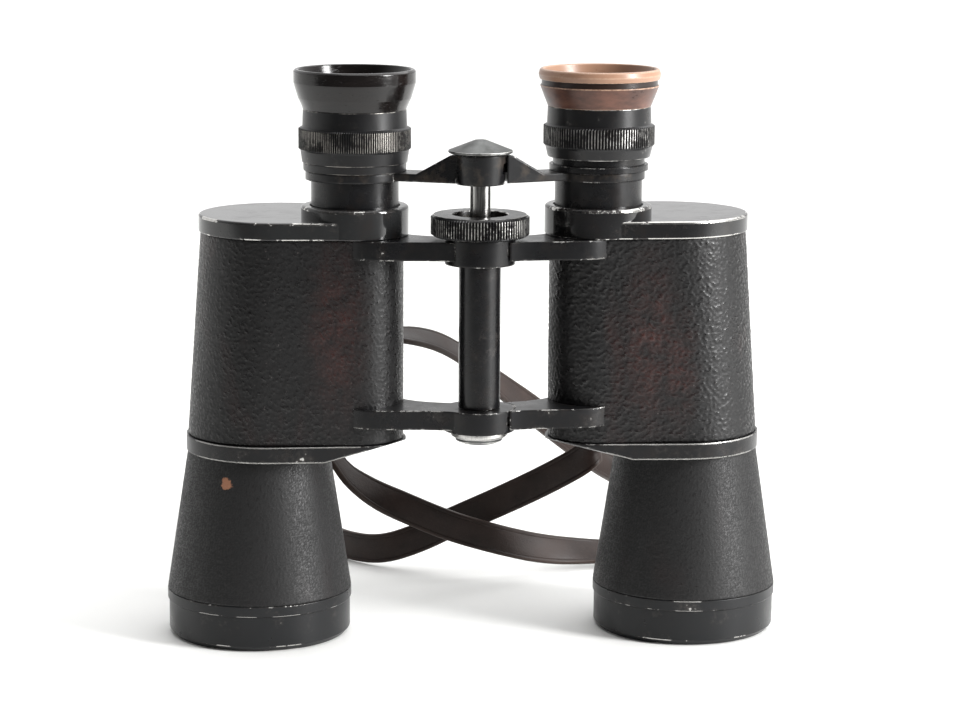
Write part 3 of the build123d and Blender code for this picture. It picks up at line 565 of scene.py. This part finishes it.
def lathe(name, x, y, profile, look, body, nodes=(), segments=160, knurl=None, sharp=40):
    """Turned piece about an upright axis from a closed profile of (radius, height[, corner
    radius]). knurl = (bottom, top, teeth, depth) cuts upright ridges between two heights."""
    pts, flags = rounded(profile)
    if knurl:
        segments = knurl[2] * 4
    n = len(pts)
    angle = np.arange(segments) * 2 * pi / segments
    verts, edge, faces = [], [], []
    radial = np.repeat(np.array([p[0] for p in pts])[:, None], segments, 1)
    crest = np.zeros(segments)
    if knurl:
        bottom, top, teeth, depth = knurl
        crest = np.array([1.0, 0.0, 0.0, 0.0] * teeth)
        groove = np.array([0.0, 0.0, 1.0, 1.0] * teeth)
        rows = [i for i, p in enumerate(pts) if bottom <= p[1] <= top
                and p[0] > max(q[0] for q in pts) - 1.2]
        radial[rows] -= depth * groove
    for i in range(n):
        verts += ring_points(x, y, radial[i], pts[i][1], angle)
    for i in range(n):
        j = (i + 1) % n
        if pts[i][0] < 1e-6 and pts[j][0] < 1e-6:
            continue
        ridged = knurl and i in rows and j in rows
        for k in range(segments):
            m = (k + 1) % segments
            a, b, c, d = i * segments + k, i * segments + m, j * segments + m, j * segments + k
            if pts[i][0] < 1e-6:
                faces.append((a, c, d))
            elif pts[j][0] < 1e-6:
                faces.append((a, b, c))
            else:
                faces.append((a, b, c, d))
            edge.append(max(flags[i], crest[k]) if ridged else flags[i])
    return piece(name, verts, faces, look, body, nodes, edge=edge, sharp=sharp)


def lobe(height):
    """Middle of the large lobe, which moves outward towards the foot."""
    return LOBE_X + (COVER_TOP - height) / HOUSING_HEIGHT * LOBE_LEAN


def outline(side, height, grow, count):
    """Housing outline: hull of the two lobes at a height, evenly spread, as a closed line."""
    c1, c2 = np.array([lobe(height), OBJECTIVE[1]]), np.array(EYE)
    r1, r2 = LARGE_LOBE + grow, SMALL_LOBE + grow
    d = c2 - c1
    length = np.hypot(*d)
    base = math.atan2(d[1], d[0])
    half = math.acos((r1 - r2) / length)
    arcs = [(c1, r1, base + half, base + 2 * pi - half), (c2, r2, base - half, base + half)]
    line = []
    for centre, radius, start, end in arcs:
        for s in np.linspace(start, end, 90):
            line.append(centre + radius * np.array([cos(s), sin(s)]))
    line = np.array(line + [line[0]])
    run = np.concatenate([[0], np.cumsum(np.hypot(*np.diff(line, axis=0).T))])
    at = np.linspace(0, run[-1], count, endpoint=False)
    xy = np.stack([np.interp(at, run, line[:, 0]), np.interp(at, run, line[:, 1])], 1)
    xy[:, 0] *= side
    return xy, run[-1]


def grain_field(along, up, period, cell, seed):
    """Pebbled grain, 0 in the creases to 1 on the pebbles, periodic along the first axis."""
    columns = max(4, int(round(period / cell[0])))
    rows = int(up.max() / cell[1]) + 4
    draw = np.random.default_rng(seed)
    jitter = draw.uniform(0.08, 0.92, (columns, rows, 2))
    tall = draw.uniform(0.55, 1.0, (columns, rows))
    u, v = along / period * columns, up / cell[1] + 1
    best = np.full(u.shape, 9.0)
    second = best.copy()
    height = np.zeros(u.shape)
    cu, cv = np.floor(u).astype(int), np.floor(v).astype(int)
    for du in (-1, 0, 1):
        for dv in (-1, 0, 1):
            iu, iv = (cu + du) % columns, np.clip(cv + dv, 0, rows - 1)
            fx = cu + du + jitter[iu, iv, 0] - u
            fy = cv + dv + jitter[iu, iv, 1] - v
            dist = np.hypot(fx, fy)
            closer = dist < best
            second = np.where(closer, best, np.minimum(second, dist))
            height = np.where(closer, tall[iu, iv], height)
            best = np.where(closer, dist, best)
    crease = np.clip((second - best) / 0.42, 0, 1)
    return crease * crease * (3 - 2 * crease) * height


# ---- Strap: it comes first, so that its route can be judged ----

# (x, y, z) and the way the strap's width points there
ON_EDGE, ACROSS, DEEP = (0, 0, 1), (1, 0, 0), (0, 1, 0)
strap_route = [
    # Down from the left lug, across the gap and onto the floor
    ((-55.6, 60, 80), ON_EDGE), ((-55.6, 67, 80), ON_EDGE), ((-55, 75, 78.5), (0.3, 0, 1)),
    ((-53.5, 79, 72), (1, 0, 0.6)), ((-50, 78, 60), (1, 0.8, 0)), ((-42, 72, 42), (0.35, 1, 0.1)),
    ((-31, 72, 33), (0.2, 0.8, 0.9)), ((-18, 74, 26.5), (0, 0.15, 1)),
    ((-4, 76, 20), ON_EDGE), ((13, 80, 14), ON_EDGE), ((30, 90, 7.8), (0, 0.5, 1)),
    ((49, 98, 5.0), (0, 1, 0.7)), ((70, 99, 4.6), (0, 1, 0.8)),
    # Loop on the floor behind the right barrel
    ((89, 105, 5.2), ON_EDGE), ((101, 119, 5.2), ON_EDGE), ((107, 142, 5.2), ON_EDGE),
    ((109, 169, 5.2), ON_EDGE), ((109, 192, 5.2), ON_EDGE), ((105, 210, 5.2), ON_EDGE),
    ((93, 219, 5.2), ON_EDGE), ((80, 213, 5.8), ON_EDGE), ((72, 196, 10), ON_EDGE),
    # Up to the left and over the left lug
    ((60, 166, 20), ON_EDGE), ((44, 145, 35), ON_EDGE), ((28, 128, 50), ON_EDGE),
    ((13, 110, 64), (-0.3, 0.3, 1)), ((0, 93, 77), (-0.4, 0.9, 1)),
    ((-11, 81, 84), (-0.2, 1, 0.5)), ((-23, 70, 87), (0, 1, 0.15)), ((-42, 61, 88.8), DEEP),
    ((-56, 57, 89.3), DEEP), ((-69, 62, 88), DEEP),
    # Down behind the left barrel and round on the floor
    ((-79, 76, 76), (0.5, 1, 0.3)), ((-82, 92, 54), (1, 0.6, 0)), ((-84, 111, 30), (1, 0, 0.6)),
    ((-86, 133, 11), (0.4, 0, 1)), ((-89, 159, 5.2), ON_EDGE),
    ((-86, 178, 5.2), ON_EDGE), ((-75, 191, 5.2), ON_EDGE), ((-58, 191, 5.2), ON_EDGE),
    ((-45, 177, 5.2), ON_EDGE), ((-44, 155, 5.2), ON_EDGE), ((-46, 133, 5.2), ON_EDGE),
    ((-40, 113, 5.2), ON_EDGE), ((-27, 100, 5.8), ON_EDGE),
    # Under the first stretch and up to the right lug
    ((-14, 97, 10.5), ON_EDGE), ((-3, 93, 17), ON_EDGE), ((14, 83, 27), ON_EDGE),
    ((30, 74, 37), ON_EDGE), ((44, 70, 46), (0.4, 0, 1)), ((51, 75, 58), (1, 0, -0.3)),
    ((54.5, 79, 71), (1, 0, -0.8)), ((55.4, 75, 78.5), (0.2, 0, -1)), ((55.6, 67, 80), (0, 0, -1)),
    ((55.6, 60, 80), (0, 0, -1)),
]


def spline_points(points, per_span=14):
    """Points read from the NURBS spline that has the route's points as its control points."""
    curve = bpy.data.curves.new("route", "CURVE")
    curve.dimensions = "3D"
    line = curve.splines.new("NURBS")
    line.points.add(len(points) - 1)
    for p, (x, y, z) in zip(line.points, points):
        p.co = (x * MM, (y + HINGE_Y) * MM, z * MM, 1)
    line.order_u = 3
    line.use_endpoint_u = True
    line.resolution_u = per_span
    holder = bpy.data.objects.new("route", curve)
    bpy.context.scene.collection.objects.link(holder)
    graph = bpy.context.evaluated_depsgraph_get()
    mesh = bpy.data.meshes.new_from_object(holder.evaluated_get(graph), depsgraph=graph)
    path = np.array([v.co for v in mesh.vertices]) / MM
    bpy.data.objects.remove(holder)
    bpy.data.curves.remove(curve)
    bpy.data.meshes.remove(mesh)
    return path


def strap_section():
    """Section of the strap: flat faces with a pressed crease line near each rounded edge."""
    h, t = STRAP_W / 2, STRAP_T / 2
    half = [(-h + 0.1, t * 0.45), (-h + 0.35, t * 0.82), (-h + 0.8, t), (-h + 1.35, t),
            (-h + 1.55, t - 0.16), (-h + 1.75, t), (-h + 3.4, t + 0.03), (0, t + 0.06),
            (h - 3.4, t + 0.03), (h - 1.75, t), (h - 1.55, t - 0.16), (h - 1.35, t),
            (h - 0.8, t), (h - 0.35, t * 0.82), (h - 0.1, t * 0.45)]
    return half + [(-a, -b) for a, b in half]


def sweep_strap(name, path, widths, body=None, nodes=(), scale=(1.0, 1.0)):
    """Strap along a path, with its width pointing the given way at each point."""
    path, widths = np.array(path), np.array(widths, float)
    tangent = np.gradient(path, axis=0)
    tangent /= np.linalg.norm(tangent, axis=1)[:, None]
    wide = widths - (widths * tangent).sum(1)[:, None] * tangent
    wide /= np.linalg.norm(wide, axis=1)[:, None]
    thick = np.cross(tangent, wide)
    section = [(a * scale[0], b * scale[1]) for a, b in strap_section()]
    n = len(section)
    side_points, rims = n // 2, (13, 14, 0, 1)      # the rims are burnished
    verts, faces, edge = [], [], []
    for p, w, t in zip(path, wide, thick):
        verts += [p + a * w + b * t for a, b in section]
    for i in range(len(path) - 1):
        for k in range(n):
            m = (k + 1) % n
            faces.append((i * n + k, i * n + m, (i + 1) * n + m, (i + 1) * n + k))
            edge.append(1.0 if k % side_points in rims else 0.0)
    for row in (0, len(path) - 1):
        faces.append(tuple(row * n + k for k in range(n)))
        edge.append(0.0)
    return piece(name, verts, faces, "strap", body, nodes, edge=edge, sharp=50)


def make_strap():
    """Strap along its route, evenly divided. Gives the piece and its middle line."""
    points = [p for p, w in strap_route]
    path = spline_points(points)
    n = len(points)
    at = np.linspace(0, n - 2, len(path))
    # The spline passes nearest its inner control points half way between its knots
    knots = np.array([0] + [i - 0.5 for i in range(1, n - 1)] + [n - 2])
    given = np.array([w for p, w in strap_route], float)
    given /= np.linalg.norm(given, axis=1)[:, None]
    for i in range(1, n):
        if given[i] @ given[i - 1] < 0:
            given[i] *= -1
    widths = np.stack([np.interp(at, knots, given[:, k]) for k in range(3)], 1)
    run = np.concatenate([[0], np.cumsum(np.linalg.norm(np.diff(path, axis=0), axis=1))])
    step = 2.2
    even = np.linspace(0, run[-1], int(run[-1] / step))
    path = np.stack([np.interp(even, run, path[:, k]) for k in range(3)], 1)
    widths = np.stack([np.interp(even, run, widths[:, k]) for k in range(3)], 1)
    return sweep_strap("strap", path, widths, nodes=["neck_strap"]), path


def make_strap_end(side, name):
    """End of the strap: round the lug's bar and back along itself, held by a leather keeper."""
    x, bar, turn = LUG_X, 54.18, 2.75
    plan = [(x, 63.0), (x, 60.0), (x - 0.9, 57.2)]
    for k in range(13):
        a = radians(180 + 15 * k)
        plan.append((56.7 + turn * cos(a), bar + turn * sin(a)))
    plan += [(58.9, 57.6), (x + 2.3, 60.0), (x + 2.15, 63.0), (x + 2.15, 66.0), (x + 2.15, 69.0)]
    path = [(side * px, py + HINGE_Y, LUG_Z) for px, py in plan]
    end = sweep_strap(f"{name}_strap_end", path, [ON_EDGE] * len(path), body=f"{name}_half")
    middle, half_x, half_z, keeper_y = x + 1.07, 2.75, 5.85, 64.0
    square, steps = 0.35, 32
    band = []
    for k in range(steps + 1):
        a = 2 * pi * k / steps
        squeeze = abs(cos(a)) ** square * math.copysign(1, cos(a))
        lift = abs(sin(a)) ** square * math.copysign(1, sin(a))
        band.append((side * (middle + half_x * squeeze), keeper_y + HINGE_Y,
                     LUG_Z + half_z * lift))
    keeper = sweep_strap(f"{name}_strap_keeper", band, [DEEP] * len(band), body=f"{name}_half",
                         scale=(0.42, 0.5))
    return end, keeper


strap, strap_path = make_strap()
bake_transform(strap)
strap_ends = [p for side, name in SIDES for p in make_strap_end(side, name)]


# ---- Prism housings ----

def make_covering(side, name):
    """Embossed leathercloth round the prism housing, with its grain in the mesh."""
    bottom, top, step = COVERING_BOTTOM, COVERING_TOP, 0.43
    rows = int((top - bottom) / step)
    xy, period = outline(side, 96.0, 0, 10)
    count = int(period / step)
    verts = []
    levels = np.linspace(bottom, top, rows)
    heights = np.zeros((rows, count))
    cell, slant, relief = ((1.35, 0.95), 0.55, 0.15) if side < 0 else ((2.0, 1.05), 0.9, 0.27)
    along = np.arange(count) / count * period
    for i, z in enumerate(levels):
        skew = (along + slant * (z - bottom) * side) % period
        heights[i] = grain_field(skew, np.full(count, z - bottom), period, cell, 11 + side)
    inside = []
    for i, z in enumerate(levels):
        xy, _ = outline(side, z, 0, count)
        centre = np.array([side * lobe(z) * 0.55 + side * EYE[0] * 0.45, 20.0])
        way = np.roll(xy, -1, 0) - np.roll(xy, 1, 0)
        normal = np.stack([way[:, 1], -way[:, 0]], 1)
        normal /= np.hypot(*normal.T)[:, None]
        normal *= np.sign(((xy - centre) * normal).sum(1))[:, None]
        lift = relief * heights[i] - 0.55 * relief
        if i in (0, rows - 1):
            lift = lift * 0 - 0.15
        p = xy + normal * lift[:, None]
        verts += [(a, b + HINGE_Y, z) for a, b in p]
        if i in (0, rows - 1):
            inside.append([(a, b + HINGE_Y, z) for a, b in xy - normal * 0.75])
    verts += inside[0] + inside[1]
    grain = np.concatenate([heights.ravel(), np.zeros(2 * count)])
    piece(f"{name}_covering", verts, skin_faces(rows, count), "cloth", f"{name}_half",
          [f"{name}_housing_covering"], points={"grain": grain}, sharp=80)


def make_cover(side, name, look):
    """Cover plate with a rolled rim and a well for the sleeve, and the boss round the well."""
    x, y = side * EYE[0], EYE[1]
    pts, marks = rounded([(-0.95, COVER_BOTTOM, 0), (0.8, COVER_BOTTOM, 0.5),
                          (0.8, COVER_TOP, 1.7), (-0.95, COVER_TOP, 0)], 5)
    count, around = 420, 120
    verts, faces, edge = [], [], []
    for grow, z in pts:
        xy, _ = outline(side, COVER_HEIGHT_READ, grow, count)
        verts += [(a, b + HINGE_Y, z) for a, b in xy]
    n = len(pts)
    for i in range(n - 1):
        faces += band_faces(i * count, (i + 1) * count, count)
        edge += [marks[i]] * count
    # The well goes through the plate: its top and bottom faces are filled round the hole
    hole = n * count
    angle = np.arange(around) * 2 * pi / around
    for z in (COVER_BOTTOM, COVER_TOP):
        verts += ring_points(x, y, WELL_RADIUS, z, angle)
    for first, inner in ((0, hole), ((n - 1) * count, hole + around)):
        numbers = list(range(first, first + count)) + list(range(inner, inner + around))
        loops = [[Vector(verts[i]) for i in numbers[:count]],
                 [Vector(verts[i]) for i in numbers[count:]]]
        for triangle in tessellate_polygon(loops):
            faces.append(tuple(numbers[i] for i in triangle))
            edge.append(0.0)
    faces += band_faces(hole, hole + around, around)
    edge += [0.0] * around
    piece(f"{name}_cover", verts, faces, look, f"{name}_half", [f"{name}_cover_plate"],
          edge=edge)
    foot, bore = COVER_BOTTOM + 0.02, 12.35
    lathe(f"{name}_cover_boss", x, y,
          [(bore, foot, 0), (BOSS_RADIUS, foot, 0.4), (BOSS_RADIUS, BOSS_TOP, 1.1),
           (WELL_RADIUS, BOSS_TOP, 0.3), (WELL_RADIUS, BOSS_FLOOR, 0), (bore, BOSS_FLOOR, 0)],
          look, f"{name}_half")


def make_barrel(side, name):
    """Conical barrel skin with fine grain in the mesh, and the smooth ring it stands on."""
    x, y = side * OBJECTIVE[0], OBJECTIVE[1]
    (low_r, low_z), (high_r, high_z) = (29.2, 14.5), (22.3, 59.5)
    step, slant_height, mean_r, skin = 0.36, 45.6, 26, 0.7
    rows, count = int(slant_height / step), int(2 * pi * mean_r / step)
    angle = np.arange(count) * 2 * pi / count
    verts, grain = [], []
    for i in range(rows):
        z = low_z + (high_z - low_z) * i / (rows - 1)
        share = i / (rows - 1)
        height = grain_field(angle * mean_r, np.full(count, z - low_z), 2 * pi * mean_r,
                             (0.95, 0.8), 5)
        radius = low_r + (high_r - low_r) * share + 0.075 * height - 0.05
        if i == 0:
            radius = radius - 0.25
        verts += ring_points(x, y, radius, z, angle)
        grain += list(height)
    for radius, z in ((low_r - skin, low_z), (high_r - skin, high_z)):
        verts += ring_points(x, y, radius, z, angle)
        grain += [0.0] * count
    piece(f"{name}_barrel_skin", verts, skin_faces(rows, count), "skin", f"{name}_half",
          [f"{name}_barrel_covering"], points={"grain": grain}, sharp=80)
    lathe(f"{name}_foot_ring", x, y,
          [(25.7, 0, 0.3), (27.4, 0, 0.5), (28.8, 1.6, 0.5), (28.8, 11.0, 0.1),
           (29.25, 11.35, 0.2), (29.25, 14.5, 0.25), (27.6, 14.5, 0), (27.6, 9.0, 0),
           (25.7, 9.0, 0.2)],
          "ring", f"{name}_half", [f"{name}_objective_ring"], segments=240)


# ---- Eyepieces ----

def make_eyepiece(side, name):
    """Sliding sleeve, knurled ring and eyecup. The right ring is the dioptre setting."""
    x, y = side * EYE[0], EYE[1]
    tube = "left_ocular" if side < 0 else "focus_bridge"
    head = "left_ocular" if side < 0 else "dioptre"
    # The left ring comes down to the bridge; the right one needs room to travel above a collar
    collar = ([(14.3, 148.9, 0.1)] if side < 0 else
              [(15.4, 148.9, 0), (15.4, 150.7, 0.2), (14.3, 150.7, 0)])
    lathe(f"{name}_sleeve", x, y,
          [(12.36, 136.9, 0.1), (13.6, 136.9, 0.25), (13.6, 148.9, 0.1)] + collar
          + [(14.3, 158.5, 0.1), (11.5, 158.5, 0), (11.5, 152.0, 0), (12.36, 151.5, 0)],
          "enamel", tube, [f"{name}_eyepiece_sleeve"])
    if side < 0:
        lathe("left_knurled_ring", x, y,
              [(14.38, 148.9, 0), (15.9, 148.9, 0.1), (16.0, 151.2, 0.1), (16.3, 151.4, 0.2),
               (16.8, 155.1, 0.2), (17.0, 155.4, 0),
               (17.4, 155.7, 0), (17.4, 161.7, 0), (17.0, 162.0, 0), (16.2, 162.4, 0.2),
               (16.0, 167.7, 0.2), (13.0, 167.7, 0), (13.0, 165.5, 0), (10.5, 165.5, 0),
               (10.5, 164.0, 0), (13.6, 164.0, 0), (13.6, 160.8, 0), (14.38, 160.8, 0)],
              "fine_knurl", head, ["left_eyepiece_ring"], knurl=(155.5, 161.9, 150, 0.38), sharp=30)
        lathe("left_cup", x, y,
              [(11.0, 165.5, 0), (13.0, 165.5, 0), (13.0, 167.7, 0), (16.0, 167.7, 0.3),
               (16.5, 169.1, 0.6), (17.5, 171.2, 2.0), (18.7, 175.2, 1.2), (18.9, 176.0, 0.3),
               (18.9, 179.4, 0.6), (18.3, 180.0, 0.5), (17.4, 180.0, 0.5), (16.4, 176.5, 1.5),
               (13.5, 171.5, 2.0), (11.0, 169.5, 0.4)],
              "bakelite", head, ["left_eyecup"], segments=200)
    else:
        lathe("right_knurled_ring", x, y,
              [(14.38, 152.9, 0), (15.9, 152.9, 0.3), (16.6, 155.9, 0.2), (16.9, 156.5, 0),
               (17.3, 156.8, 0), (17.3, 162.5, 0), (16.9, 162.8, 0), (16.2, 163.2, 0.2),
               (16.0, 168.6, 0.2), (13.0, 168.6, 0), (13.0, 165.5, 0), (10.5, 165.5, 0),
               (10.5, 164.0, 0), (13.6, 164.0, 0), (13.6, 160.8, 0), (14.38, 160.8, 0)],
              "knurl", head, ["right_dioptre_ring"], knurl=(156.6, 162.7, 114, 0.42), sharp=30)
        lathe("right_cup", x, y,
              [(11.0, 165.5, 0), (13.0, 165.5, 0), (13.0, 168.6, 0), (16.0, 168.6, 0.3),
               (17.2, 171.5, 2.0), (18.5, 175.0, 0.4), (18.0, 175.3, 0.1), (18.0, 176.8, 0.1),
               (18.6, 176.9, 0.3), (19.0, 178.4, 1.0), (18.5, 180.1, 0.7), (17.4, 180.2, 0.5),
               (16.4, 176.5, 1.5), (13.5, 171.5, 2.0), (11.0, 169.5, 0.4)],
              "brown", head, ["right_eyecup"], segments=200)


# ---- Hinge, focusing drive and bridge ----

def make_middle():
    """Hinge tube and its ends, focusing wheel and shaft, and the cap over the bridge."""
    lathe("tube", 0, 0, [(4.9, 76.55, 0), (6.45, 76.55, 0.2), (6.45, 121.15, 0.2),
                         (4.9, 121.15, 0)], "enamel", "right_half", ["hinge_tube"])
    lathe("washer", 0, 0, [(4.9, 67.3, 0), (8.2, 67.3, 0.3), (8.8, 67.9, 0.3), (8.8, 69.2, 0.2),
                           (4.9, 69.2, 0)], "steel", "right_half", ["hinge_washer"])
    lathe("end_cap", 0, 0, [(0, 65.2, 0), (5.4, 65.4, 1.0), (7.2, 66.1, 0.8), (7.6, 67.3, 0.2),
                            (2.5, 67.3, 0), (2.5, 71.5, 0), (0, 71.5, 0)], "worn", "right_half",
          ["hinge_end_cap"])
    lathe("wheel", 0, 0,
          [(4.24, 130.0, 0), (14.2, 130.0, 0.2), (14.75, 130.4, 0), (15.2, 130.7, 0),
           (15.2, 135.9, 0), (14.75, 136.2, 0), (14.3, 136.7, 0.2), (8.6, 136.7, 0.3),
           (8.6, 133.0, 0.1), (4.24, 133.0, 0)],
          "wheel", "focus_wheel", ["focus_wheel"], knurl=(130.5, 136.1, 100, 0.5), sharp=30)
    lathe("shaft", 0, 0, [(0, 84, 0), (3.2, 84, 0.2), (3.2, 155.5, 0), (0, 155.5, 0)],
          "chrome", "focus_bridge", ["focus_shaft"], segments=96)
    lathe("cap", 0, 0, [(0, 155.5, 0), (9.5, 155.5, 0.15), (9.9, 155.8, 0.15), (9.9, 156.3, 0.2),
                        (1.7, 159.55, 1.2), (0, 159.6, 0)], "worn", "focus_bridge", ["bridge_cap"])


for side, name in SIDES:
    make_covering(side, name)
    make_cover(side, name, "cover" if side < 0 else "cover_worn")
    make_barrel(side, name)
    make_eyepiece(side, name)
make_middle()

# ---- Materials of the CAD nodes that stay ----

KEPT = {"prism_housing": "cast", "objective_barrel": "anodised", "objective_cell": "anodised",
        "objective_lens": "glass", "field_lens": "glass", "eye_lens": "glass",
        "upper_prism": "prism", "lower_prism": "prism", "prism_clips": "brass",
        "eyepiece_guide": "steel", "ocular_cell": "anodised", "cover_screws": "enamel",
        "strap_lug": "cast", "bridge_arm": "bridge", "hinge_axle": "steel", "focus_nut": "brass"}
for node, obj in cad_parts.items():
    kind = node.replace("left_", "").replace("right_", "")
    if kind in KEPT:
        for slot in obj.material_slots:
            slot.material = M[KEPT[kind]]
